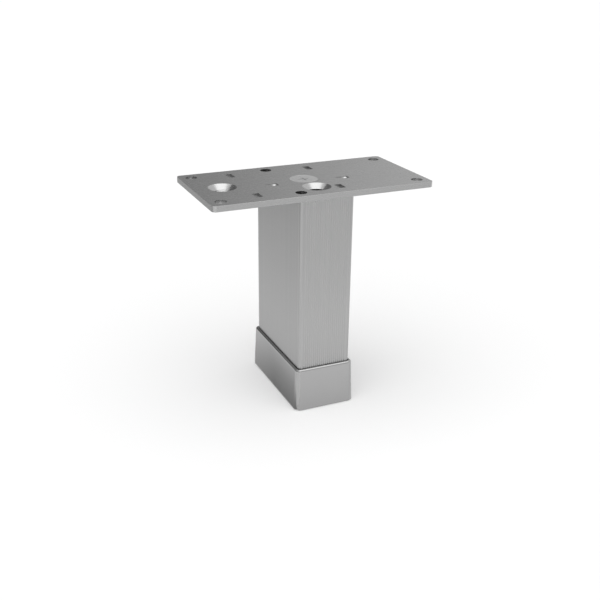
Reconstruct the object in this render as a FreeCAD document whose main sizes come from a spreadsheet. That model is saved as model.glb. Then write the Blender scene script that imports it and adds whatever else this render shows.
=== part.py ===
# Bed leg: a steel mounting plate on a fluted aluminium tube that stands in a die-cast boot.
#
# The plate lies on top and is held to the tube by one countersunk screw in the tube's middle.
# It has the same countersink and the same pair of pressed keys at three places, so that the tube
# can stand in the middle of the plate, at its end or, turned by a right angle, at its side.
# The tube's lower end stands in the boot, which a second screw pulls against it from below.
#
# Frame: millimetres, origin on the floor under the middle of the leg, +X along the plate's
# long side, +Y along the tube's wide side, +Z up.

import FreeCAD, Part
import math
import os
import re
import Sketcher

V = FreeCAD.Vector
UP = V(0, 0, 1)
TINY = 1e-4

# Driving sizes in millimetres and degrees: name, value, what it measures.
SIZES = [
    ("leg_height", 160, "floor to the plate's top face"),
    ("plate_length", 162, "along X"),
    ("plate_width", 82, "along Y"),
    ("plate_thickness", 4, ""),
    ("plate_corner_radius", 3, ""),
    ("plate_edge_chamfer", 0.05, "broken edge all round the plate"),
    ("fixing_hole_diameter", 8, "screw holes to the bed"),
    ("hole_end_margin", 8.5, "corner holes to the plate's short sides"),
    ("hole_side_margin", 9, "corner holes to the plate's long sides"),
    ("spare_hole_offset", 16, "plate's middle to the spare pair of screw holes"),
    ("end_margin", 20.5, "middle of the tube's place at the plate's end to the short side"),
    ("side_margin", 19, "middle of the tube's place at the plate's side to the long side"),
    ("sink_diameter", 20, "mouth of the countersinks"),
    ("sink_hole_diameter", 13, "narrow end of the countersinks"),
    ("sink_angle", 90, "full angle of the countersinks and of the screw's head"),
    ("key_width", 5, "across the tube's wide wall"),
    ("key_length", 9, "along the tube's wide wall"),
    ("key_depth", 1.5, "how far a key is pressed down out of the plate"),
    ("side_key_depth", 0.4, "the same for the two keys of the side place"),
    ("side_dimple_depth", 1.5, "round dimple at the right end of these two"),
    ("side_dimple_slope", 45, "degrees that the dimple's wall leans in"),
    ("key_spacing", 54, "between the two keys of a pair"),
    ("key_gap", 0.4, "key to the inside of the tube's wall"),
    ("tube_width", 40, "along X"),
    ("tube_depth", 80, "along Y"),
    ("tube_corner_radius", 2.5, ""),
    ("tube_wall", 2, ""),
    ("tube_inner_radius", 1, "inner corners"),
    ("web_thickness", 2.4, "wall between the two chambers"),
    ("channel_diameter", 16, "screw channel in the middle of the web"),
    ("flute_pitch", 1.6, ""),
    ("flute_radius", 1.2, "round bottom of a flute"),
    ("flute_depth", 0.2, ""),
    ("flute_margin", 0.4, "plain strip beside the rounded corners"),
    ("screw_diameter", 10, "both leg screws"),
    ("screw_gap", 0.05, "thread to the channel, on the radius"),
    ("shank_gap", 0.5, "boot screw to the hole in the boot's floor, on the radius"),
    ("screw_point", 1, "chamfer at the end of a screw"),
    ("head_sunk", 0.05, "plate screw's head below the plate's top face"),
    ("mouth_gap", 0.6, "plate screw's head to the mouth of the channel"),
    ("lead_in", 1, "chamfer at the lower mouth of the channel"),
    ("plate_screw_length", 30, "with the head"),
    ("cross_span", 7, "cross recess, tip to tip"),
    ("cross_width", 1.3, ""),
    ("cross_depth", 2.4, ""),
    ("cross_draft", 8, "degrees that the recess narrows"),
    ("boot_height", 32, "lower edge to rim"),
    ("boot_gap", 0.15, "tube to boot, all round"),
    ("boot_draft", 2.4, "degrees that the sides lean in"),
    ("boot_corner_radius", 5, "at the lower edge"),
    ("socket_corner_radius", 1.5, "upright corners of the boot's inside"),
    ("boot_floor_thickness", 3.5, ""),
    ("boot_skirt", 3, "wall below the boot's floor"),
    ("boot_edge_chamfer", 0.5, "lower edge of the boot"),
    ("rim_thickness", 1.95, "boot's wall at the rim"),
    ("rim_outer_radius", 1.65, ""),
    ("rim_chamfer", 0.2, "inside the rim"),
    ("rib_thickness", 2, "ribs under the boot's floor"),
    ("rib_spacing", 48, "between the two cross ribs"),
    ("ring_thickness", 2.5, "ring round the boot screw's head"),
    ("ring_gap", 0.8, "ring to the head, on the radius"),
    ("boot_head_diameter", 17, "flat head of the boot screw"),
    ("boot_head_height", 3.6, ""),
    ("head_room", 0.7, "boot screw's head to the glide"),
    ("boot_screw_length", 22, "without the head"),
    ("socket_across_flats", 6, "hexagon socket of the boot screw"),
    ("socket_depth", 2.2, ""),
    ("glide_thickness", 2.2, ""),
    ("glide_proud", 0.3, "how far the glide stands out below the boot"),
    ("glide_gap", 0.4, "glide to the boot's skirt"),
    ("glide_chamfer", 0.4, "round the glide's sole"),
]
ALIASES = {name for name, value, note in SIZES}

# Levels and places that several pieces share, worked out from the driving sizes.
PLATE_UNDER = "(leg_height - plate_thickness)"
FLOOR_UNDER = "(glide_thickness + head_room + boot_head_height)"
FLOOR_TOP = f"({FLOOR_UNDER} + boot_floor_thickness)"
RIM = "(glide_proud + boot_height)"
SINK_SLOPE = "tan(sink_angle / 2)"
HEAD_RADIUS = f"(sink_diameter / 2 - head_sunk * {SINK_SLOPE})"
HEAD_AT_UNDER = f"({HEAD_RADIUS} - (plate_thickness - head_sunk) * {SINK_SLOPE})"
BORE_RADIUS = "(screw_diameter / 2 + screw_gap)"
MOUTH_DEPTH = f"({HEAD_AT_UNDER} + mouth_gap - {BORE_RADIUS})"
BOOT_SPREAD = "(boot_gap + rim_thickness + boot_height * tan(boot_draft))"
BOOT_WIDTH = f"(tube_width + 2 * {BOOT_SPREAD})"
BOOT_DEPTH = f"(tube_depth + 2 * {BOOT_SPREAD})"
KEY_OFFSET = "(tube_width / 2 - tube_wall - key_gap - key_width / 2)"
HOLE_X = "(plate_length / 2 - hole_end_margin)"
HOLE_Y = "(plate_width / 2 - hole_side_margin)"
END_PLACE = "(plate_length / 2 - end_margin)"
SIDE_PLACE = "(plate_width / 2 - side_margin)"

# The three places of the tube under the plate: tag, x, y, and whether it is turned there.
PLACES = [
    ("middle", "0", "0", False),
    ("end", f"-{END_PLACE}", "0", False),
    ("side", "0", f"-{SIDE_PLACE}", True),
]

doc = FreeCAD.newDocument("bed_leg")
sheet = doc.addObject("Spreadsheet::Sheet", "sizes")
for row, (name, value, note) in enumerate(SIZES, start=1):
    sheet.set(f"A{row}", name)
    sheet.set(f"B{row}", str(value))
    sheet.set(f"C{row}", note)
    sheet.setAlias(f"B{row}", name)
doc.recompute()


def size(name):
    """The number in the sheet's cell of that name."""
    return float(sheet.get(name))


def in_sheet(expression):
    """An expression on the sheet's names, as the document's objects read it."""
    return re.sub(r"[a-z_]+", lambda word: "sizes." + word[0] if word[0] in ALIASES else word[0], expression)


def bind(item, prop, expression):
    item.setExpression(prop, in_sheet(expression))


def new_body(name):
    body = doc.addObject("PartDesign::Body", name)
    body.Label = name
    return body


def origin_plane(body, role):
    for item in body.Origin.OriginFeatures:
        if item.Role == role:
            return item
    raise ValueError(f"{body.Name} has no {role}")


def new_sketch(body, name, role="XY_Plane", level="0", place=("0", "0"), turn=0):
    """A sketch on one of the body's origin planes, raised to a level and moved to a place."""
    sketch = body.newObject("Sketcher::SketchObject", name)
    sketch.AttachmentSupport = [(origin_plane(body, role), "")]
    sketch.MapMode = "FlatFace"
    sketch.AttachmentOffset = FreeCAD.Placement(V(0, 0, 0), FreeCAD.Rotation(UP, turn))
    bind(sketch, "AttachmentOffset.Base.x", place[0])
    bind(sketch, "AttachmentOffset.Base.y", place[1])
    bind(sketch, "AttachmentOffset.Base.z", level)
    return sketch


def constrain(sketch, name, expression, kind, *where):
    """Adds a constraint whose value follows an expression."""
    index = sketch.addConstraint(Sketcher.Constraint(kind, *where))
    sketch.renameConstraint(index, name)
    bind(sketch, "Constraints." + name, expression)


def draw_circle(sketch, tag, radius, centre, side=(0, 0)):
    """A circle at a centre given by two expressions; side holds the signs of its place."""
    start = V(5.0 * side[0], 5.0 * side[1], 0)
    circle = sketch.addGeometry(Part.Circle(start, UP, 1.0), False)
    constrain(sketch, tag + "_radius", radius, "Radius", circle, 1.0)
    if side[0]:
        constrain(sketch, tag + "_x", centre[0], "DistanceX", -1, 1, circle, 3, start.x)
    else:
        sketch.addConstraint(Sketcher.Constraint("PointOnObject", circle, 3, -2))
    if side[1]:
        constrain(sketch, tag + "_y", centre[1], "DistanceY", -1, 1, circle, 3, start.y)
    else:
        sketch.addConstraint(Sketcher.Constraint("PointOnObject", circle, 3, -1))


def draw_rounded_rectangle(sketch, tag, width, depth, radius, centre=("0", "0"), start=(0, 0)):
    """Four arcs joined by four tangent lines, sized and placed by expressions."""
    reach, bend = 3.0, 1.0
    corners = [(1, -1), (1, 1), (-1, 1), (-1, -1)]
    arcs = []
    for quarter, (across, along) in enumerate(corners):
        middle = V(start[0] + across * (reach - bend), start[1] + along * (reach - bend), 0)
        first = (quarter - 1) * math.pi / 2
        arcs.append(Part.ArcOfCircle(Part.Circle(middle, UP, bend), first, first + math.pi / 2))
    shapes = []
    for quarter, arc in enumerate(arcs):
        shapes.append(arc)
        shapes.append(Part.LineSegment(arc.EndPoint, arcs[(quarter + 1) % 4].StartPoint))
    base = sketch.addGeometry(shapes, False)[0]
    for quarter in range(4):
        arc = base + 2 * quarter
        line = arc + 1
        following = base + (2 * quarter + 2) % 8
        sketch.addConstraint(Sketcher.Constraint("Tangent", arc, 2, line, 1))
        sketch.addConstraint(Sketcher.Constraint("Tangent", line, 2, following, 1))
        sketch.addConstraint(Sketcher.Constraint("Horizontal" if quarter % 2 else "Vertical", line))
        if quarter:
            sketch.addConstraint(Sketcher.Constraint("Equal", base, arc))
    lower, upper, left = base, base + 2, base + 6
    top = arcs[1].Center
    constrain(sketch, tag + "_radius", radius, "Radius", base, bend)
    constrain(sketch, tag + "_width", f"{width} - 2 * {radius}", "DistanceX", left, 3, lower, 3, reach)
    constrain(sketch, tag + "_depth", f"{depth} - 2 * {radius}", "DistanceY", lower, 3, upper, 3, reach)
    right_x = f"{centre[0]} + {width} / 2 - {radius}"
    upper_y = f"{centre[1]} + {depth} / 2 - {radius}"
    constrain(sketch, tag + "_x", right_x, "DistanceX", -1, 1, upper, 3, top.x)
    constrain(sketch, tag + "_y", upper_y, "DistanceY", -1, 1, upper, 3, top.y)


def draw_rectangle(sketch, width, depth):
    """Four lines round the sketch's origin, sized by expressions."""
    reach = 3.0
    corners = [V(-reach, -reach, 0), V(reach, -reach, 0), V(reach, reach, 0), V(-reach, reach, 0)]
    for index, corner in enumerate(corners):
        sketch.addGeometry(Part.LineSegment(corner, corners[(index + 1) % 4]), False)
    for index in range(4):
        sketch.addConstraint(Sketcher.Constraint("Coincident", index, 2, (index + 1) % 4, 1))
        sketch.addConstraint(Sketcher.Constraint("Vertical" if index % 2 else "Horizontal", index))
    sketch.addConstraint(Sketcher.Constraint("Symmetric", 0, 1, 2, 1, -1, 1))
    constrain(sketch, "width", width, "DistanceX", 0, 1, 0, 2, 2 * reach)
    constrain(sketch, "depth", depth, "DistanceY", 1, 1, 1, 2, 2 * reach)


def draw_profile(sketch, points):
    """A closed outline through points given by expressions; a point at 0 lies on the axis."""
    count = len(points)
    base = sketch.GeometryCount
    turns = [2 * math.pi * index / count for index in range(count)]
    start = [V(6 + 5 * math.sin(turn), 20 + 5 * math.cos(turn), 0) for turn in turns]
    for index in range(count):
        sketch.addGeometry(Part.LineSegment(start[index], start[(index + 1) % count]), False)
    for index, (across, height) in enumerate(points):
        line, following = base + index, base + (index + 1) % count
        sketch.addConstraint(Sketcher.Constraint("Coincident", line, 2, following, 1))
        if across == "0":
            sketch.addConstraint(Sketcher.Constraint("PointOnObject", line, 1, -2))
        else:
            constrain(sketch, f"across_{line}", across, "DistanceX", -1, 1, line, 1, start[index].x)
        constrain(sketch, f"height_{line}", height, "DistanceY", -1, 1, line, 1, start[index].y)


def draw_hexagon(sketch, across_flats):
    """A regular hexagon round the sketch's origin."""
    corners = [V(math.cos(k * math.pi / 3), math.sin(k * math.pi / 3), 0) for k in range(6)]
    for index, corner in enumerate(corners):
        sketch.addGeometry(Part.LineSegment(corner, corners[(index + 1) % 6]), False)
    circle = sketch.addGeometry(Part.Circle(V(0, 0, 0), UP, 1.0), True)
    sketch.addConstraint(Sketcher.Constraint("Coincident", circle, 3, -1, 1))
    for index in range(6):
        sketch.addConstraint(Sketcher.Constraint("Coincident", index, 2, (index + 1) % 6, 1))
        sketch.addConstraint(Sketcher.Constraint("PointOnObject", index, 1, circle))
        if index:
            sketch.addConstraint(Sketcher.Constraint("Equal", 0, index))
    sketch.addConstraint(Sketcher.Constraint("PointOnObject", 0, 1, -1))
    constrain(sketch, "corner_radius", f"{across_flats} / sqrt(3)", "Radius", circle, 1.0)


def add_pad(body, name, sketch, length, down=False):
    pad = body.newObject("PartDesign::Pad", name)
    pad.Profile = sketch
    pad.Reversed = down
    bind(pad, "Length", length)
    doc.recompute()
    return pad


def add_pocket(body, name, sketch, depth, up=False):
    """A pocket that has to take material away."""
    before = body.Tip.Shape.Volume
    pocket = body.newObject("PartDesign::Pocket", name)
    pocket.Profile = sketch
    pocket.Reversed = up
    bind(pocket, "Length", depth)
    doc.recompute()
    if pocket.Shape.Volume >= before:
        raise ValueError(f"{name} cuts nothing")
    return pocket


def add_revolution(body, name, sketch):
    turned = body.newObject("PartDesign::Revolution", name)
    turned.Profile = sketch
    turned.ReferenceAxis = (sketch, ["V_Axis"])
    turned.Angle = 360
    doc.recompute()
    return turned


def edges_at(feature, levels, wanted):
    """Names of the level edges at given heights whose bounding box passes a test."""
    names = []
    for number, edge in enumerate(feature.Shape.Edges, start=1):
        box = edge.BoundBox
        for level in levels:
            if abs(box.ZMin - level) < TINY and abs(box.ZMax - level) < TINY and wanted(box):
                names.append(f"Edge{number}")
    return names


def add_edge_treatment(body, kind, name, feature, edges, prop, expression):
    """A fillet or a chamfer on the named edges of a feature."""
    if not edges:
        raise ValueError(f"{name} has no edges")
    treatment = body.newObject("PartDesign::" + kind, name)
    treatment.Base = (feature, edges)
    bind(treatment, prop, expression)
    doc.recompute()
    return treatment


def whole(box):
    """Takes every edge of a level."""
    return True


def mounting_plate():
    """The steel plate with its screw holes, its countersinks and its pressed keys."""
    body = new_body("mounting_plate")
    outline = new_sketch(body, "plate_outline", level=PLATE_UNDER)
    draw_rounded_rectangle(outline, "plate", "plate_length", "plate_width", "plate_corner_radius")
    blank = add_pad(body, "plate_blank", outline, "plate_thickness")
    top = size("leg_height")
    under = top - size("plate_thickness")
    edges = edges_at(blank, (top, under), whole)
    add_edge_treatment(body, "Chamfer", "plate_edge", blank, edges, "Size", "plate_edge_chamfer")
    for tag, x, y, turned in PLACES:
        press_keys(body, tag, x, y, turned)
    holes = new_sketch(body, "fixing_holes_sketch", level="leg_height")
    for side_y, tag in ((1, "back"), (-1, "front")):
        for side_x, end in ((1, "right"), (-1, "left")):
            centre = (f"{side_x} * {HOLE_X}", f"{side_y} * {HOLE_Y}")
            draw_circle(holes, f"{tag}_{end}", "fixing_hole_diameter / 2", centre, (side_x, side_y))
        spare = ("-spare_hole_offset", f"{side_y} * {HOLE_Y}")
        draw_circle(holes, f"{tag}_spare", "fixing_hole_diameter / 2", spare, (-1, side_y))
    add_pocket(body, "fixing_holes", holes, "plate_thickness")
    sinks = new_sketch(body, "sinks_sketch", level="leg_height")
    draw_circle(sinks, "middle", "sink_hole_diameter / 2", ("0", "0"))
    draw_circle(sinks, "end", "sink_hole_diameter / 2", (f"-{END_PLACE}", "0"), (-1, 0))
    draw_circle(sinks, "side", "sink_hole_diameter / 2", ("0", f"-{SIDE_PLACE}"), (0, -1))
    doc.recompute()
    sink = body.newObject("PartDesign::Hole", "sinks")
    sink.Profile = sinks
    doc.recompute()
    sink.DepthType = "ThroughAll"
    sink.HoleCutType = "Countersink"
    sink.HoleCutCustomValues = True
    bind(sink, "Diameter", "sink_hole_diameter")
    bind(sink, "HoleCutDiameter", "sink_diameter")
    bind(sink, "HoleCutCountersinkAngle", "sink_angle")
    doc.recompute()
    return body


def press_keys(body, tag, x, y, turned):
    """The two keys of one place, half sheared: a recess on top and the same lug below.

    The side place's keys, which are turned, are shallow and end in a dimple.
    """
    turn = 90 if turned else 0
    depth = "side_key_depth" if turned else "key_depth"
    recess = new_sketch(body, f"{tag}_recess_sketch", level="leg_height", place=(x, y), turn=turn)
    lug = new_sketch(body, f"{tag}_lug_sketch", level=PLATE_UNDER, place=(x, y), turn=turn)
    left, right = f"{KEY_OFFSET} - key_width / 2", f"{KEY_OFFSET} + key_width / 2"
    for side in (1, -1):
        near = f"{side} * key_spacing / 2 - key_length / 2"
        far = f"{side} * key_spacing / 2 + key_length / 2"
        for sketch in (recess, lug):
            draw_profile(sketch, [(left, near), (right, near), (right, far), (left, far)])
    add_pocket(body, f"{tag}_recess", recess, depth)
    add_pad(body, f"{tag}_lug", lug, depth, down=True)
    if turned:
        dimple = new_sketch(body, f"{tag}_dimple_sketch", level="leg_height", place=(x, y), turn=turn)
        for side, end in ((1, "left"), (-1, "right")):
            centre = (KEY_OFFSET, f"{side} * key_spacing / 2 - (key_length - key_width) / 2")
            draw_circle(dimple, end, "key_width / 2", centre, (1, side))
        pressed = add_pocket(body, f"{tag}_dimples", dimple, "side_dimple_depth")
        bind(pressed, "TaperAngle", "-side_dimple_slope")
        doc.recompute()


def side_edges(across, start, finish, flutes):
    """Edges of one side of an outline, from start to finish along u at v = -across / 2.

    flutes holds the pitch, radius, depth and margin of round-bottomed grooves, or nothing.
    """
    v = -across / 2
    points = [(start, v)]
    edges = []
    if flutes:
        pitch, radius, depth, margin = flutes
        half_mouth = math.sqrt(radius ** 2 - (radius - depth) ** 2)
        count = int((finish - start - 2 * margin + pitch - 2 * half_mouth) // pitch)
        first = (start + finish) / 2 - (count - 1) * pitch / 2
        for index in range(count):
            middle = first + index * pitch
            near = (middle - half_mouth, v)
            far = (middle + half_mouth, v)
            edges.append(("line", points[-1], near))
            edges.append(("arc", near, (middle, v + depth), far))
            points.append(far)
    edges.append(("line", points[-1], (finish, v)))
    return edges


def closed_outline(width, depth, corner, flutes=None):
    """A face with rounded corners, round the origin, with or without fluted sides."""
    edges = []
    lean = corner * (1 - math.sqrt(0.5))
    for quarter in range(4):
        along, across = (depth, width) if quarter % 2 else (width, depth)
        end = along / 2
        side = side_edges(across, corner - end, end - corner, flutes)
        v = -across / 2
        side.append(("arc", (end - corner, v), (end - lean, v + lean), (end, v + corner)))
        turn = FreeCAD.Rotation(UP, 90 * quarter)
        for kind, *ends in side:
            ends = [turn.multVec(V(u, w, 0)) for u, w in ends]
            curve = Part.LineSegment(*ends) if kind == "line" else Part.Arc(*ends)
            edges.append(curve.toShape())
    return Part.Face(Part.Wire(edges))


def disc(radius):
    return Part.Face(Part.Wire(Part.Circle(V(0, 0, 0), UP, radius).toShape()))


def leg_tube():
    """The fluted extrusion: two chambers, a web between them and the screw channel in it."""
    width, depth, wall = size("tube_width"), size("tube_depth"), size("tube_wall")
    corner, inner = size("tube_corner_radius"), size("tube_inner_radius")
    web = size("web_thickness")
    flutes = [size("flute_" + name) for name in ("pitch", "radius", "depth", "margin")]
    bore = size("screw_diameter") / 2 + size("screw_gap")
    shell = closed_outline(width, depth, corner, flutes)
    shell = shell.cut(closed_outline(width - 2 * wall, depth - 2 * wall, inner))
    partition = Part.makePlane(width - 1.5 * wall, web, V(0.75 * wall - width / 2, -web / 2, 0))
    section_shape = shell.fuse([partition, disc(size("channel_diameter") / 2)]).cut(disc(bore))
    section = doc.addObject("Part::Feature", "tube_section")
    section.Shape = section_shape.removeSplitter().Faces[0]
    bind(section, "Placement.Base.z", FLOOR_TOP)

    extrusion = doc.addObject("Part::Extrusion", "tube_extrusion")
    extrusion.Base = section
    extrusion.DirMode = "Custom"
    extrusion.Dir = UP
    extrusion.Solid = True
    bind(extrusion, "LengthFwd", f"{PLATE_UNDER} - {FLOOR_TOP}")

    upper = doc.addObject("Part::Cone", "upper_mouth")
    bind(upper, "Radius1", BORE_RADIUS)
    bind(upper, "Radius2", f"{BORE_RADIUS} + {MOUTH_DEPTH}")
    bind(upper, "Height", MOUTH_DEPTH)
    bind(upper, "Placement.Base.z", f"{PLATE_UNDER} - {MOUTH_DEPTH}")
    lower = doc.addObject("Part::Cone", "lower_mouth")
    bind(lower, "Radius1", f"{BORE_RADIUS} + lead_in")
    bind(lower, "Radius2", BORE_RADIUS)
    bind(lower, "Height", "lead_in")
    bind(lower, "Placement.Base.z", FLOOR_TOP)
    mouths = doc.addObject("Part::MultiFuse", "channel_mouths")
    mouths.Shapes = [upper, lower]
    tube = doc.addObject("Part::Cut", "leg_tube")
    tube.Base = extrusion
    tube.Tool = mouths
    tube.Label = "leg_tube"
    doc.recompute()
    return tube


def plate_screw():
    """The countersunk screw with a cross recess that holds the plate to the tube."""
    body = new_body("plate_screw")
    head_top = "(leg_height - head_sunk)"
    point = f"({head_top} - plate_screw_length)"
    thread = "screw_diameter / 2"
    profile = new_sketch(body, "plate_screw_profile", "XZ_Plane")
    draw_profile(profile, [
        ("0", head_top),
        (HEAD_RADIUS, head_top),
        (thread, f"{head_top} - ({HEAD_RADIUS} - {thread}) / {SINK_SLOPE}"),
        (thread, f"{point} + screw_point"),
        (f"{thread} - screw_point", point),
        ("0", point),
    ])
    add_revolution(body, "plate_screw_turned", profile)
    for turn, tag in ((0, "first"), (90, "second")):
        arm = new_sketch(body, f"{tag}_cross_sketch", level=head_top, turn=turn)
        draw_rectangle(arm, "cross_span", "cross_width")
        slot = add_pocket(body, f"{tag}_cross", arm, "cross_depth")
        bind(slot, "TaperAngle", "-cross_draft")
    doc.recompute()
    return body


def boot():
    """The die-cast boot: a tapered cup round the tube's end, with a ribbed floor."""
    body = new_body("boot")
    outline = new_sketch(body, "boot_outline", level="glide_proud")
    draw_rounded_rectangle(outline, "boot", BOOT_WIDTH, BOOT_DEPTH, "boot_corner_radius")
    block = add_pad(body, "boot_block", outline, "boot_height")
    bind(block, "TaperAngle", "-boot_draft")
    doc.recompute()
    rim = size("glide_proud") + size("boot_height")
    rim_edges = edges_at(block, (rim,), whole)
    add_edge_treatment(body, "Fillet", "rim_rounding", block, rim_edges, "Radius", "rim_outer_radius")
    foot_edges = edges_at(body.Tip, (size("glide_proud"),), whole)
    add_edge_treatment(body, "Chamfer", "foot_chamfer", body.Tip, foot_edges, "Size", "boot_edge_chamfer")

    socket = new_sketch(body, "socket_sketch", level=RIM)
    clear = ("(tube_width + 2 * boot_gap)", "(tube_depth + 2 * boot_gap)", "socket_corner_radius")
    draw_rounded_rectangle(socket, "socket", *clear)
    add_pocket(body, "socket", socket, f"{RIM} - {FLOOR_TOP}")
    reach = size("tube_width") / 2 + size("boot_gap") + TINY
    mouth = edges_at(body.Tip, (rim,), lambda box: max(box.XMax, -box.XMin) < reach)
    add_edge_treatment(body, "Chamfer", "mouth_chamfer", body.Tip, mouth, "Size", "rim_chamfer")

    hollow = new_sketch(body, "hollow_sketch", level="glide_proud")
    inside = (f"({BOOT_WIDTH} - 2 * boot_skirt)", f"({BOOT_DEPTH} - 2 * boot_skirt)")
    draw_rounded_rectangle(hollow, "hollow", *inside, "(boot_corner_radius - boot_skirt)")
    add_pocket(body, "hollow", hollow, f"{FLOOR_UNDER} - glide_proud", up=True)

    rise = f"{FLOOR_UNDER} - glide_thickness"
    rib_end = "(rib_thickness / 4)"
    spine = new_sketch(body, "long_rib_sketch", level="glide_thickness")
    draw_rounded_rectangle(spine, "rib", "rib_thickness", f"({BOOT_DEPTH} - boot_skirt)", rib_end)
    add_pad(body, "long_rib", spine, rise)
    cross = new_sketch(body, "cross_ribs_sketch", level="glide_thickness")
    for side, tag in ((1, "back"), (-1, "front")):
        centre = ("0", f"{side} * rib_spacing / 2")
        rib = (f"({BOOT_WIDTH} - boot_skirt)", "rib_thickness", rib_end)
        draw_rounded_rectangle(cross, tag, *rib, centre=centre, start=(0, 15 * side))
    add_pad(body, "cross_ribs", cross, rise)
    ring = new_sketch(body, "ring_sketch", level="glide_thickness")
    draw_circle(ring, "ring", "boot_head_diameter / 2 + ring_gap + ring_thickness", ("0", "0"))
    add_pad(body, "ring", ring, rise)
    seat = new_sketch(body, "head_seat_sketch", level="glide_thickness")
    draw_circle(seat, "seat", "boot_head_diameter / 2 + ring_gap", ("0", "0"))
    add_pocket(body, "head_seat", seat, rise, up=True)
    through = new_sketch(body, "boot_screw_hole_sketch", level=FLOOR_TOP)
    draw_circle(through, "hole", "screw_diameter / 2 + shank_gap", ("0", "0"))
    add_pocket(body, "boot_screw_hole", through, "boot_floor_thickness")
    return body


def boot_screw():
    """The flat-headed screw that pulls the boot up against the tube's end."""
    body = new_body("boot_screw")
    point = f"({FLOOR_UNDER} + boot_screw_length)"
    head_under = f"({FLOOR_UNDER} - boot_head_height)"
    thread = "screw_diameter / 2"
    profile = new_sketch(body, "boot_screw_profile", "XZ_Plane")
    draw_profile(profile, [
        ("0", point),
        (f"{thread} - screw_point", point),
        (thread, f"{point} - screw_point"),
        (thread, FLOOR_UNDER),
        ("boot_head_diameter / 2", FLOOR_UNDER),
        ("boot_head_diameter / 2", head_under),
        ("0", head_under),
    ])
    add_revolution(body, "boot_screw_turned", profile)
    socket = new_sketch(body, "hexagon_sketch", level=head_under)
    draw_hexagon(socket, "socket_across_flats")
    add_pocket(body, "hexagon_socket", socket, "socket_depth", up=True)
    return body


def glide():
    """The plastic glide that closes the boot from below and stands on the floor."""
    body = new_body("glide")
    outline = new_sketch(body, "glide_outline")
    inset = "2 * (boot_skirt + glide_gap)"
    rounding = "(boot_corner_radius - boot_skirt - glide_gap)"
    sides = (f"({BOOT_WIDTH} - {inset})", f"({BOOT_DEPTH} - {inset})")
    draw_rounded_rectangle(outline, "glide", *sides, rounding)
    plate = add_pad(body, "glide_plate", outline, "glide_thickness")
    sole = edges_at(plate, (0,), whole)
    add_edge_treatment(body, "Chamfer", "sole_chamfer", plate, sole, "Size", "glide_chamfer")
    return body


def check_and_write(pieces):
    """Stops on any failed object or shape, then writes one file for each piece."""
    doc.recompute()
    for item in doc.Objects:
        if "Invalid" in item.State or "Error" in item.State:
            raise ValueError(f"{item.Name} failed: {item.State}")
    for piece in pieces:
        shape = piece.Shape
        if shape.isNull() or not shape.isValid() or len(shape.Solids) != 1:
            raise ValueError(f"{piece.Label} is not one valid solid")
    os.makedirs("parts", exist_ok=True)
    for piece in pieces:
        piece.Shape.exportStep(os.path.join("parts", piece.Label + ".step"))
        box = piece.Shape.BoundBox
        print(f"{piece.Label}: {piece.Shape.Volume:.0f} mm3, z {box.ZMin:.2f} to {box.ZMax:.2f}")


check_and_write([mounting_plate(), leg_tube(), plate_screw(), boot(), boot_screw(), glide()])
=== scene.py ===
import math

import bpy
from mathutils import Matrix, Vector


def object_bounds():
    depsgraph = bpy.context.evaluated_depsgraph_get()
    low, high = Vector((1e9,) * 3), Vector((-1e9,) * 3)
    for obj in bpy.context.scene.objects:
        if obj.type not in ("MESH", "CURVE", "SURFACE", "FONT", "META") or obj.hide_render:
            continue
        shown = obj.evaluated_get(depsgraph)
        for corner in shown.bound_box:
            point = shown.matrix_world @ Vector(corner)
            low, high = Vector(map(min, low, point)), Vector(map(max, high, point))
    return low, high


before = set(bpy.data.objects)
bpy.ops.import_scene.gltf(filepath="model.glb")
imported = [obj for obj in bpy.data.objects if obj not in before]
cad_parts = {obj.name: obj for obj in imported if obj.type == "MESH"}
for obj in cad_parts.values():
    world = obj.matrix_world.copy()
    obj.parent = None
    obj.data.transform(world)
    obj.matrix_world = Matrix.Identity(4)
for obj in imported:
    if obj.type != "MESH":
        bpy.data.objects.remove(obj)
CAD_BOX = [list(corner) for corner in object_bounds()]

bl_info = {
    "name": "Bed leg",
    "version": (1, 0, 0),
    "blender": (4, 5, 0),
    "location": "3D View > Sidebar > Bed leg",
    "description": "Finishes a bed leg with its mounting plate, and sets up its studio",
    "category": "Object",
}

MM = 0.001
WHITE = (1, 1, 1, 1)

# Nearly all of a noise pattern lies between these two values.
PATTERN_LOW, PATTERN_HIGH = 0.3, 0.7

# Length of one ring of the wave texture where its scale is 1.
WAVE_LENGTH = math.pi / 10

# Half the floor's width in metres.
FLOOR_REACH = 25.0

# The wall round the studio, in metres. At its foot it has only a share of its level, and it has
# all of it from WALL_FULL_HEIGHT up.
WALL_RADIUS = 3.0
WALL_HEIGHT = 3.4
WALL_SIDES = 72
WALL_FOOT_SHARE = 0.35
WALL_FULL_HEIGHT = 0.9
# Shares of the turn, from -X by -Y, +X and +Y back to -X, and the wall's grey level there.
WALL_LEVELS = (
    (0.0, 0.4), (0.2, 0.85), (0.45, 0.9), (0.6, 0.88), (0.664, 0.62), (0.705, 0.36), (0.782, 0.2),
    (0.882, 0.16), (1.0, 0.4),
)

# The cards that the metal reflects, which paint shade and light into its reflections, in millimetres
# from the middle of the leg. Those on the floor start just clear of the boot's foot.
ALONG_X, ALONG_Y = 0, 1
CARD_LIFT = 0.2
SHADE_CARD_START = (-24.5, -44)
SHADE_CARD_SEAM = -84.5
LIGHT_CARD_START = (-30, -44.5)
# Width of the strip, from the leg's middle on, in which a card's lowest level rises.
CARD_RISE = 90
# The edge card, painted shade for the plate's left end, hangs beside that end: how far past it, and
# how far below the plate's top.
EDGE_GAP = 2
EDGE_DROP = 30
EDGE_WIDTH = 100

# The softbox is seen from the leg in this direction, and its distance is in metres.
SOFTBOX_DIRECTION = (0.04, -0.12, 0.99)
SOFTBOX_DISTANCE = 4.0
SOFTBOX_SIDES = 48

# The camera's sensor in millimetres, and the nearest and farthest that it sees in metres.
SENSOR_WIDTH = 36
CAMERA_NEAR, CAMERA_FAR = 0.01, 100


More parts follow.
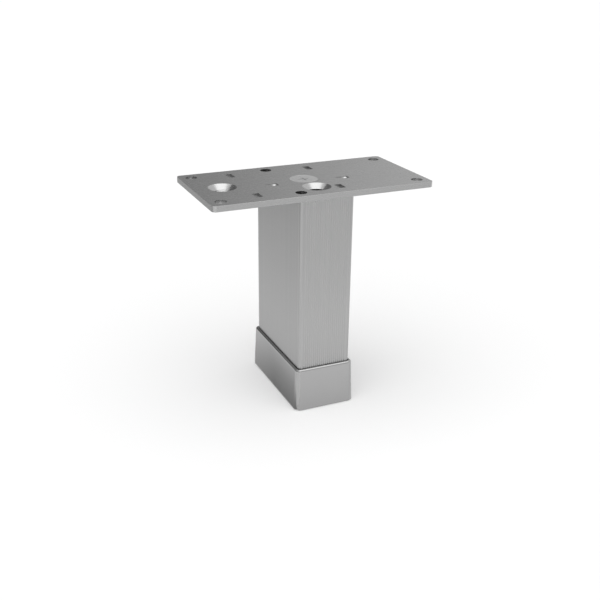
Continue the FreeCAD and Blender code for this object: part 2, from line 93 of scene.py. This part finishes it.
def linear(hex_color):
    """Linear red, green and blue of an sRGB hex value."""
    channels = [int(hex_color[i : i + 2], 16) / 255 for i in (0, 2, 4)]
    return [c / 12.92 if c <= 0.04045 else ((c + 0.055) / 1.055) ** 2.4 for c in channels]


def color_prop(name, description, hex_color):
    return bpy.props.FloatVectorProperty(
        name=name, description=description, subtype="COLOR", size=3, min=0, max=1,
        default=linear(hex_color),
    )


def number_prop(name, description, default, **limits):
    return bpy.props.FloatProperty(name=name, description=description, default=default, **limits)


def length_prop(name, description, millimetres):
    return number_prop(name, description, millimetres * MM, min=0, unit="LENGTH")


def share_prop(name, description, share):
    return number_prop(name, description, share, min=0, max=1, subtype="FACTOR")


def angle_prop(name, description, degrees):
    return number_prop(name, description, math.radians(degrees), subtype="ANGLE", unit="ROTATION")


class BedLegFinish(bpy.types.PropertyGroup):
    """Colours and surface sizes of the leg's materials"""

    plate_color: color_prop("Plate", "Zinc-plated sheet steel", "B6B6B6")
    plate_roughness: share_prop("Plate roughness", "How matt the rolled sheet is", 0.27)
    grain_width: length_prop("Rolling grain", "Width of a rolling line on the sheet", 0.5)
    tube_color: color_prop("Tube", "Anodised aluminium", "AEAEAE")
    tube_roughness: share_prop("Tube roughness", "How matt the anodised surface is", 0.32)
    draw_line_width: length_prop("Die lines", "Width of a band that the extrusion die leaves", 2)
    boot_color: color_prop("Boot", "Nickel-plated aluminium casting", "AFAFAF")
    boot_roughness: share_prop("Boot roughness", "How matt the satin plating is", 0.15)
    screw_color: color_prop("Screws", "Zinc-plated screw steel", "DCDCDC")
    turning_pitch: length_prop("Turning marks", "Spacing of the rings on the screw's head", 0.4)
    glide_color: color_prop("Glide", "Dark grey polyamide", "3A3B3C")


class BedLegStudio(bpy.types.PropertyGroup):
    """Floor, light and camera"""

    floor_color: color_prop("Floor", "Plain pale floor", "DADADA")
    floor_glow: share_prop("Floor glow", "White that the floor shows on top of its light", 0.2)
    ceiling: number_prop("Ceiling", "Strength of the wide soft light overhead", 3.0, min=0)
    ceiling_width: angle_prop("Ceiling width", "How much of the sky the light overhead fills", 100)
    ceiling_tilt: angle_prop("Ceiling tilt", "How far the light leans to the left", 10)
    ceiling_lean: angle_prop("Ceiling lean", "How far the light leans to the front", 18)
    softbox: number_prop("Softbox", "Brightness of the softbox that the metal reflects", 2.0, min=0)
    softbox_width: angle_prop("Softbox width", "How wide the softbox looks from the object", 59)
    room: share_prop("Room", "Light from the room's sides", 0.28)
    camera_turn: angle_prop("Camera turn", "Heading, from the back towards the right", 22.593)
    camera_dip: angle_prop("Camera dip", "How far the camera looks down", 22.968)
    camera_roll: angle_prop("Camera roll", "Camera's tilt about its line of sight", 0.104)
    camera_place: bpy.props.FloatVectorProperty(
        name="Camera place", description="Where the camera stands", subtype="XYZ", unit="LENGTH",
        default=(-0.2390, -0.5315, 0.3142),
    )
    camera_lens: number_prop("Focal length", "In millimetres on a 36 mm sensor", 50.91, min=1)
    camera_shift: number_prop("Camera shift", "Share of the frame that the lens is shifted", 0.0333)


def add_node(tree, kind, settings=(), inputs=()):
    """A node with its settings, and its inputs set to values or linked to other nodes' outputs."""
    node = tree.nodes.new(kind)
    for name, value in dict(settings).items():
        setattr(node, name, value)
    for name, value in dict(inputs).items():
        if isinstance(value, bpy.types.NodeSocket):
            tree.links.new(value, node.inputs[name])
        else:
            node.inputs[name].default_value = value
    return node


def empty_tree(owner):
    """The emptied node tree of a material or a world."""
    owner.use_nodes = True
    owner.node_tree.nodes.clear()
    return owner.node_tree


def new_material(name, color, metallic, roughness):
    """A material with one surface shader, and that shader and the node tree."""
    material = bpy.data.materials.new(name)
    tree = empty_tree(material)
    shader = add_node(tree, "ShaderNodeBsdfPrincipled", inputs={
        "Base Color": (*color, 1), "Metallic": metallic, "Roughness": roughness,
    })
    add_node(tree, "ShaderNodeOutputMaterial", inputs={"Surface": shader.outputs["BSDF"]})
    return material, tree, shader


def streaks(tree, size, detail=2.0):
    """Noise whose spots have the given size in metres along X, Y and Z."""
    place = add_node(tree, "ShaderNodeTexCoord")
    scale = add_node(tree, "ShaderNodeMapping", inputs={
        "Vector": place.outputs["Object"], "Scale": [1 / length for length in size],
    })
    noise = add_node(tree, "ShaderNodeTexNoise", inputs={
        "Vector": scale.outputs["Vector"], "Scale": 1.0, "Detail": detail, "Roughness": 0.5,
    })
    return noise.outputs["Fac"]


def work_in(tree, shader, pattern, swing=0.0, depth=0.0, height=0.0):
    """Lets a pattern move the surface's roughness, colour and height.

    swing is how far the roughness moves to either side, depth the share by which the colour gets
    darker and lighter, and height the relief in metres from its lowest to its highest.
    """
    if swing:
        middle = shader.inputs["Roughness"].default_value
        span = add_node(tree, "ShaderNodeMapRange", inputs={
            "Value": pattern, "From Min": PATTERN_LOW, "From Max": PATTERN_HIGH,
            "To Min": middle - swing, "To Max": middle + swing,
        })
        tree.links.new(span.outputs["Result"], shader.inputs["Roughness"])
    if depth:
        color = shader.inputs["Base Color"].default_value[:3]
        dark = [c * (1 - depth) for c in color]
        light = [min(1, c * (1 + depth)) for c in color]
        mix = add_node(tree, "ShaderNodeMix", {"data_type": "RGBA"}, {
            0: pattern, 6: (*dark, 1), 7: (*light, 1),
        })
        tree.links.new(mix.outputs[2], shader.inputs["Base Color"])
    if height:
        bump = add_node(tree, "ShaderNodeBump", inputs={
            "Height": pattern, "Strength": 1.0, "Distance": height,
        })
        tree.links.new(bump.outputs["Normal"], shader.inputs["Normal"])


def zinc_plated_sheet(finish):
    # Cold-rolled sheet with bright zinc: even grey metal, soft reflections drawn out along the
    # rolling direction, and faint clouds where the plating bath left it a little duller. A real
    # rolling line is too fine to show, so the lines are drawn coarser.
    material, tree, shader = new_material(
        "zinc_plated_sheet_steel", finish.plate_color, metallic=1.0, roughness=finish.plate_roughness
    )
    width = finish.grain_width
    grain = streaks(tree, (40 * width, width, width))
    clouds = streaks(tree, (18 * MM, 14 * MM, 14 * MM), detail=3.0)
    work_in(tree, shader, grain, swing=0.015, height=0.0008 * MM)
    work_in(tree, shader, clouds, depth=0.04)
    return material


def anodised_extrusion(finish):
    # Extruded aluminium, anodised in its natural colour: silky grey, with straight soft bands
    # along the tube where the die has drawn over it.
    material, tree, shader = new_material(
        "anodised_extruded_aluminium", finish.tube_color, metallic=1.0, roughness=finish.tube_roughness
    )
    width = finish.draw_line_width
    lines = streaks(tree, (width, width, 300 * width))
    work_in(tree, shader, lines, swing=0.03, depth=0.08)
    return material


def nickel_plated_casting(finish):
    # Aluminium die casting under satin nickel: smoother than the tube, with the shallow waviness
    # of a casting in its reflections.
    material, tree, shader = new_material(
        "satin_nickel_die_casting", finish.boot_color, metallic=1.0, roughness=finish.boot_roughness
    )
    skin = streaks(tree, (0.6 * MM, 0.6 * MM, 0.6 * MM), detail=3.0)
    waves = streaks(tree, (16 * MM, 16 * MM, 16 * MM), detail=1.0)
    work_in(tree, shader, skin, swing=0.04)
    work_in(tree, shader, waves, depth=0.02, height=0.05 * MM)
    return material


def turned_screw_steel(finish):
    # Turned steel under zinc: brighter than the sheet, with rings left by the tool on the flat of
    # the head. Real rings are too fine to show, so they are drawn coarser.
    material, tree, shader = new_material(
        "zinc_plated_screw_steel", finish.screw_color, metallic=1.0, roughness=0.3
    )
    place = add_node(tree, "ShaderNodeTexCoord")
    rings = add_node(tree, "ShaderNodeTexWave", {"wave_type": "RINGS", "rings_direction": "Z"}, {
        "Vector": place.outputs["Object"], "Scale": WAVE_LENGTH / finish.turning_pitch,
        "Distortion": 0.3,
    })
    work_in(tree, shader, rings.outputs["Fac"], swing=0.04, depth=0.03, height=0.004 * MM)
    return material


def moulded_polyamide(finish):
    # Injection-moulded polyamide: dark grey, matt, with the fine spark-eroded texture of its
    # mould and a soft broad highlight.
    material, tree, shader = new_material(
        "moulded_polyamide", finish.glide_color, metallic=0.0, roughness=0.56
    )
    texture = streaks(tree, (0.35 * MM, 0.35 * MM, 0.35 * MM))
    work_in(tree, shader, texture, swing=0.06, depth=0.1, height=0.03 * MM)
    return material


def dress(nodes, material):
    """Gives CAD nodes their finish."""
    for name in nodes:
        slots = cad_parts[name].material_slots
        if not slots:
            raise RuntimeError(f"{name} has no material slot")
        for slot in slots:
            slot.material = material


class BEDLEG_OT_plate(bpy.types.Operator):
    """Finish the mounting plate as zinc-plated sheet steel"""

    bl_idname = "bedleg.plate"
    bl_label = "Finish the plate"

    def execute(self, context):
        dress(["mounting_plate"], zinc_plated_sheet(context.scene.bed_leg_finish))
        return {"FINISHED"}


class BEDLEG_OT_tube(bpy.types.Operator):
    """Finish the fluted tube as anodised aluminium"""

    bl_idname = "bedleg.tube"
    bl_label = "Finish the tube"

    def execute(self, context):
        dress(["leg_tube"], anodised_extrusion(context.scene.bed_leg_finish))
        return {"FINISHED"}


class BEDLEG_OT_boot(bpy.types.Operator):
    """Finish the boot as a nickel-plated die casting"""

    bl_idname = "bedleg.boot"
    bl_label = "Finish the boot"

    def execute(self, context):
        dress(["boot"], nickel_plated_casting(context.scene.bed_leg_finish))
        return {"FINISHED"}


class BEDLEG_OT_screws(bpy.types.Operator):
    """Finish the two screws as zinc-plated turned steel"""

    bl_idname = "bedleg.screws"
    bl_label = "Finish the screws"

    def execute(self, context):
        dress(["plate_screw", "boot_screw"], turned_screw_steel(context.scene.bed_leg_finish))
        return {"FINISHED"}


class BEDLEG_OT_glide(bpy.types.Operator):
    """Finish the glide as moulded polyamide"""

    bl_idname = "bedleg.glide"
    bl_label = "Finish the glide"

    def execute(self, context):
        dress(["glide"], moulded_polyamide(context.scene.bed_leg_finish))
        return {"FINISHED"}


def seen_directly(tree):
    """1 for rays from the camera and for those that metal and glass reflect or let through."""
    path = add_node(tree, "ShaderNodeLightPath")
    first = add_node(tree, "ShaderNodeMath", {"operation": "MAXIMUM"}, {
        0: path.outputs["Is Camera Ray"], 1: path.outputs["Is Glossy Ray"],
    })
    both = add_node(tree, "ShaderNodeMath", {"operation": "MAXIMUM"}, {
        0: first.outputs[0], 1: path.outputs["Is Transmission Ray"],
    })
    return both.outputs[0]


def set_levels(ramp, levels):
    """Gives a new colour ramp its grey levels, each with its place from 0 to 1."""
    marks = ramp.color_ramp.elements
    while len(marks) < len(levels):
        marks.new(0.5)
    for mark, (position, level) in zip(marks, levels):
        mark.position = position
        mark.color = (level, level, level, 1)


def stage_object(name, verts, faces, material):
    mesh = bpy.data.meshes.new(name)
    mesh.from_pydata(verts, [], faces)
    mesh.materials.append(material)
    item = bpy.data.objects.new(name, mesh)
    bpy.context.scene.collection.objects.link(item)
    return item


def reflected_object(name, verts, faces, material, color, strength):
    """A glowing piece of the studio that only the metal's reflections show."""
    tree = material.node_tree
    glow = add_node(tree, "ShaderNodeEmission", inputs={"Color": color, "Strength": strength})
    add_node(tree, "ShaderNodeOutputMaterial", inputs={"Surface": glow.outputs[0]})
    item = stage_object(name, verts, faces, material)
    item.visible_camera = False
    item.visible_diffuse = False
    item.visible_shadow = False


def add_floor(studio):
    """A wide pale floor that glows a little, so that it is white where nothing shades it."""
    material = bpy.data.materials.new("pale_studio_floor")
    tree = empty_tree(material)
    diffuse = add_node(tree, "ShaderNodeBsdfDiffuse", inputs={"Color": (*studio.floor_color, 1)})
    level = add_node(tree, "ShaderNodeMath", {"operation": "MULTIPLY"}, {
        0: seen_directly(tree), 1: studio.floor_glow,
    })
    glow = add_node(tree, "ShaderNodeEmission", inputs={
        "Color": WHITE, "Strength": level.outputs[0],
    })
    both = add_node(tree, "ShaderNodeAddShader", inputs={0: diffuse.outputs[0], 1: glow.outputs[0]})
    add_node(tree, "ShaderNodeOutputMaterial", inputs={"Surface": both.outputs[0]})
    reach = FLOOR_REACH
    corners = [(-reach, -reach, 0), (reach, -reach, 0), (reach, reach, 0), (-reach, reach, 0)]
    stage_object("floor", corners, [(0, 1, 2, 3)], material)


def add_wall():
    """A round grey wall that only the metal reflects: dark at the back left, pale on the right."""
    verts = []
    for side in range(WALL_SIDES):
        angle = 2 * math.pi * side / WALL_SIDES
        for height in (0.0, WALL_HEIGHT):
            verts.append((WALL_RADIUS * math.cos(angle), WALL_RADIUS * math.sin(angle), height))
    count = len(verts)
    faces = [(i, (i + 2) % count, (i + 3) % count, i + 1) for i in range(0, count, 2)]
    material = bpy.data.materials.new("grey_studio_wall")
    tree = empty_tree(material)
    place = add_node(tree, "ShaderNodeTexCoord").outputs["Object"]
    turn = add_node(tree, "ShaderNodeTexGradient", {"gradient_type": "RADIAL"}, {"Vector": place})
    ramp = add_node(tree, "ShaderNodeValToRGB", inputs={"Fac": turn.outputs["Fac"]})
    set_levels(ramp, WALL_LEVELS)
    parts = add_node(tree, "ShaderNodeSeparateXYZ", inputs={"Vector": place})
    rise = add_node(tree, "ShaderNodeMapRange", inputs={
        "Value": parts.outputs["Z"], "From Max": WALL_FULL_HEIGHT,
        "To Min": WALL_FOOT_SHARE, "To Max": 1.0,
    })
    color, strength = ramp.outputs["Color"], rise.outputs["Result"]
    reflected_object("wall", verts, faces, material, color, strength)


def add_card(name, start, end, axis, steps, lowest=(0, 0), height=CARD_LIFT):
    """A level graded card beside the leg that only the metal reflects, whose levels paint shade and
    light into the metal's reflections.

    start and end are two opposite corners, and the card is graded along one axis: each step is a
    distance from start and the card's level there. Along the other axis, from the leg's middle
    on, the lowest level that the card has anywhere may rise. All sizes are in millimetres.
    """
    (x0, y0), (x1, y1) = start, end
    outline = [(x0, y0, height), (x1, y0, height), (x1, y1, height), (x0, y1, height)]
    verts = [Vector(corner) * MM for corner in outline]
    reach = steps[-1][0]
    last = start[axis] + math.copysign(reach, end[axis] - start[axis])
    material = bpy.data.materials.new("graded_painted_light_and_shade_card")
    tree = empty_tree(material)
    place = add_node(tree, "ShaderNodeTexCoord").outputs["Object"]
    parts = add_node(tree, "ShaderNodeSeparateXYZ", inputs={"Vector": place})
    away = add_node(tree, "ShaderNodeMapRange", inputs={
        "Value": parts.outputs[axis], "From Min": start[axis] * MM, "From Max": last * MM,
    })
    ramp = add_node(tree, "ShaderNodeValToRGB", inputs={"Fac": away.outputs["Result"]})
    set_levels(ramp, [(distance / reach, level) for distance, level in steps])
    rise = add_node(tree, "ShaderNodeMapRange", inputs={
        "Value": parts.outputs[1 - axis], "From Min": 0.0, "From Max": CARD_RISE * MM,
        "To Min": lowest[0], "To Max": lowest[1],
    })
    level = add_node(tree, "ShaderNodeMath", {"operation": "MAXIMUM"}, {
        0: ramp.outputs["Color"], 1: rise.outputs["Result"],
    })
    reflected_object(name, verts, [(0, 1, 2, 3)], material, WHITE, level.outputs[0])


def add_cards():
    """Grey cards at the left that paint shade, and a white one in front that paints light, into the
    reflections on the metal's upright sides.
    """
    # Painted shade: darkest next to the boot, where the floor's contact shadow lies, for the boot's
    # left side to reflect.
    add_card(
        "near_painted_shade_card", start=SHADE_CARD_START, end=(SHADE_CARD_SEAM, 800), axis=ALONG_X,
        steps=[(0, 0.31), (15, 0.48), (30, 0.76), (45, 0.93), (60, 0.95)], lowest=(0.3, 0.78),
    )
    # Painted shade: greyer further out at the left, which darkens the left sides of the tube and boot
    # in their reflections.
    add_card(
        "far_painted_shade_card", start=(SHADE_CARD_SEAM, SHADE_CARD_START[1]), end=(-1500, 2500), axis=ALONG_X,
        steps=[(0, 0.94), (40, 0.98), (90, 0.9), (190, 0.76), (290, 0.66), (540, 0.6), (1415, 0.6)],
    )
    # Painted light: the lit floor in front, with a band brighter than white about 110 mm out, for the
    # front faces to reflect.
    add_card(
        "front_painted_light_card", start=LIGHT_CARD_START, end=(1500, -2500), axis=ALONG_Y,
        steps=[
            (0, 0.8), (35, 0.92), (70, 0.98), (110, 1.15), (200, 0.95), (330, 0.84), (600, 0.8),
            (2455, 0.8),
        ],
    )
    # Painted shade on the plate's left end, which reflects this card.
    edge_start = CAD_BOX[0][0] / MM - EDGE_GAP
    add_card(
        "edge_painted_shade_card", start=(edge_start, -60), end=(edge_start - EDGE_WIDTH, 200), axis=ALONG_X,
        steps=[(0, 0.5), (EDGE_WIDTH, 0.6)], height=CAD_BOX[1][2] / MM - EDGE_DROP,
    )


def add_softbox(studio):
    """A bright disc overhead, a little to the front, which makes the metal's highlights."""
    turn = Vector(SOFTBOX_DIRECTION).to_track_quat("Z", "Y")
    radius = SOFTBOX_DISTANCE * math.tan(studio.softbox_width / 2)
    verts = []
    for side in range(SOFTBOX_SIDES):
        angle = 2 * math.pi * side / SOFTBOX_SIDES
        rim = Vector((radius * math.cos(angle), radius * math.sin(angle), SOFTBOX_DISTANCE))
        verts.append(turn @ rim)
    material = bpy.data.materials.new("softbox_glow")
    empty_tree(material)
    faces = [tuple(range(SOFTBOX_SIDES))]
    reflected_object("softbox", verts, faces, material, WHITE, studio.softbox)


def add_room(studio):
    """An even room that is white to the eye and softer as a light."""
    world = bpy.data.worlds.new("room")
    bpy.context.scene.world = world
    tree = empty_tree(world)
    level = add_node(tree, "ShaderNodeMapRange", inputs={
        "Value": seen_directly(tree), "To Min": studio.room, "To Max": 1.0,
    })
    sky = add_node(tree, "ShaderNodeBackground", inputs={
        "Color": WHITE, "Strength": level.outputs[0],
    })
    add_node(tree, "ShaderNodeOutputWorld", inputs={"Surface": sky.outputs[0]})


def add_ceiling(studio):
    """One very wide soft light overhead that leans to the front left."""
    light = bpy.data.lights.new("ceiling", "SUN")
    light.energy = studio.ceiling
    light.angle = studio.ceiling_width
    lamp = bpy.data.objects.new("ceiling", light)
    lamp.rotation_euler = (studio.ceiling_lean, -studio.ceiling_tilt, 0)
    lamp.visible_glossy = False
    bpy.context.scene.collection.objects.link(lamp)


def add_camera(studio):
    turn, dip, roll = studio.camera_turn, studio.camera_dip, studio.camera_roll
    ahead = Vector((math.sin(turn) * math.cos(dip), math.cos(turn) * math.cos(dip), -math.sin(dip)))
    right = Vector((math.cos(turn), -math.sin(turn), 0))
    up = right.cross(ahead)
    across = right * math.cos(roll) + up * math.sin(roll)
    upward = up * math.cos(roll) - right * math.sin(roll)
    data = bpy.data.cameras.new("camera")
    data.sensor_width = SENSOR_WIDTH
    data.lens = studio.camera_lens
    data.shift_x = studio.camera_shift
    data.clip_start, data.clip_end = CAMERA_NEAR, CAMERA_FAR
    camera = bpy.data.objects.new("camera", data)
    matrix = Matrix((across, upward, -ahead)).transposed().to_4x4()
    matrix.translation = Vector(studio.camera_place)
    camera.matrix_world = matrix
    bpy.context.scene.collection.objects.link(camera)
    bpy.context.scene.camera = camera


class BEDLEG_OT_stage(bpy.types.Operator):
    """Set up the floor, the light and the camera"""

    bl_idname = "bedleg.stage"
    bl_label = "Set up the studio"

    def execute(self, context):
        studio = context.scene.bed_leg_studio
        add_floor(studio)
        add_wall()
        add_cards()
        add_softbox(studio)
        add_room(studio)
        add_ceiling(studio)
        add_camera(studio)
        context.scene.view_settings.view_transform = "Standard"
        return {"FINISHED"}


class BEDLEG_PT_sidebar(bpy.types.Panel):
    """Sizes, colours and steps of the bed leg"""

    bl_idname = "BEDLEG_PT_sidebar"
    bl_label = "Bed leg"
    bl_space_type = "VIEW_3D"
    bl_region_type = "UI"
    bl_category = "Bed leg"

    def draw(self, context):
        for settings in (context.scene.bed_leg_finish, context.scene.bed_leg_studio):
            box = self.layout.box()
            for name in settings.__annotations__:
                box.prop(settings, name)
        for step in STEPS:
            self.layout.operator("bedleg." + step)


CLASSES = (
    BedLegFinish,
    BedLegStudio,
    BEDLEG_OT_plate,
    BEDLEG_OT_tube,
    BEDLEG_OT_boot,
    BEDLEG_OT_screws,
    BEDLEG_OT_glide,
    BEDLEG_OT_stage,
    BEDLEG_PT_sidebar,
)
STEPS = ("plate", "tube", "boot", "screws", "glide", "stage")


def register():
    for item in CLASSES:
        bpy.utils.register_class(item)
    bpy.types.Scene.bed_leg_finish = bpy.props.PointerProperty(type=BedLegFinish)
    bpy.types.Scene.bed_leg_studio = bpy.props.PointerProperty(type=BedLegStudio)


def unregister():
    del bpy.types.Scene.bed_leg_studio
    del bpy.types.Scene.bed_leg_finish
    for item in reversed(CLASSES):
        bpy.utils.unregister_class(item)


def main():
    register()
    for step in STEPS:
        getattr(bpy.ops.bedleg, step)()
    bpy.context.view_layer.update()


if __name__ == "__main__":
    main()
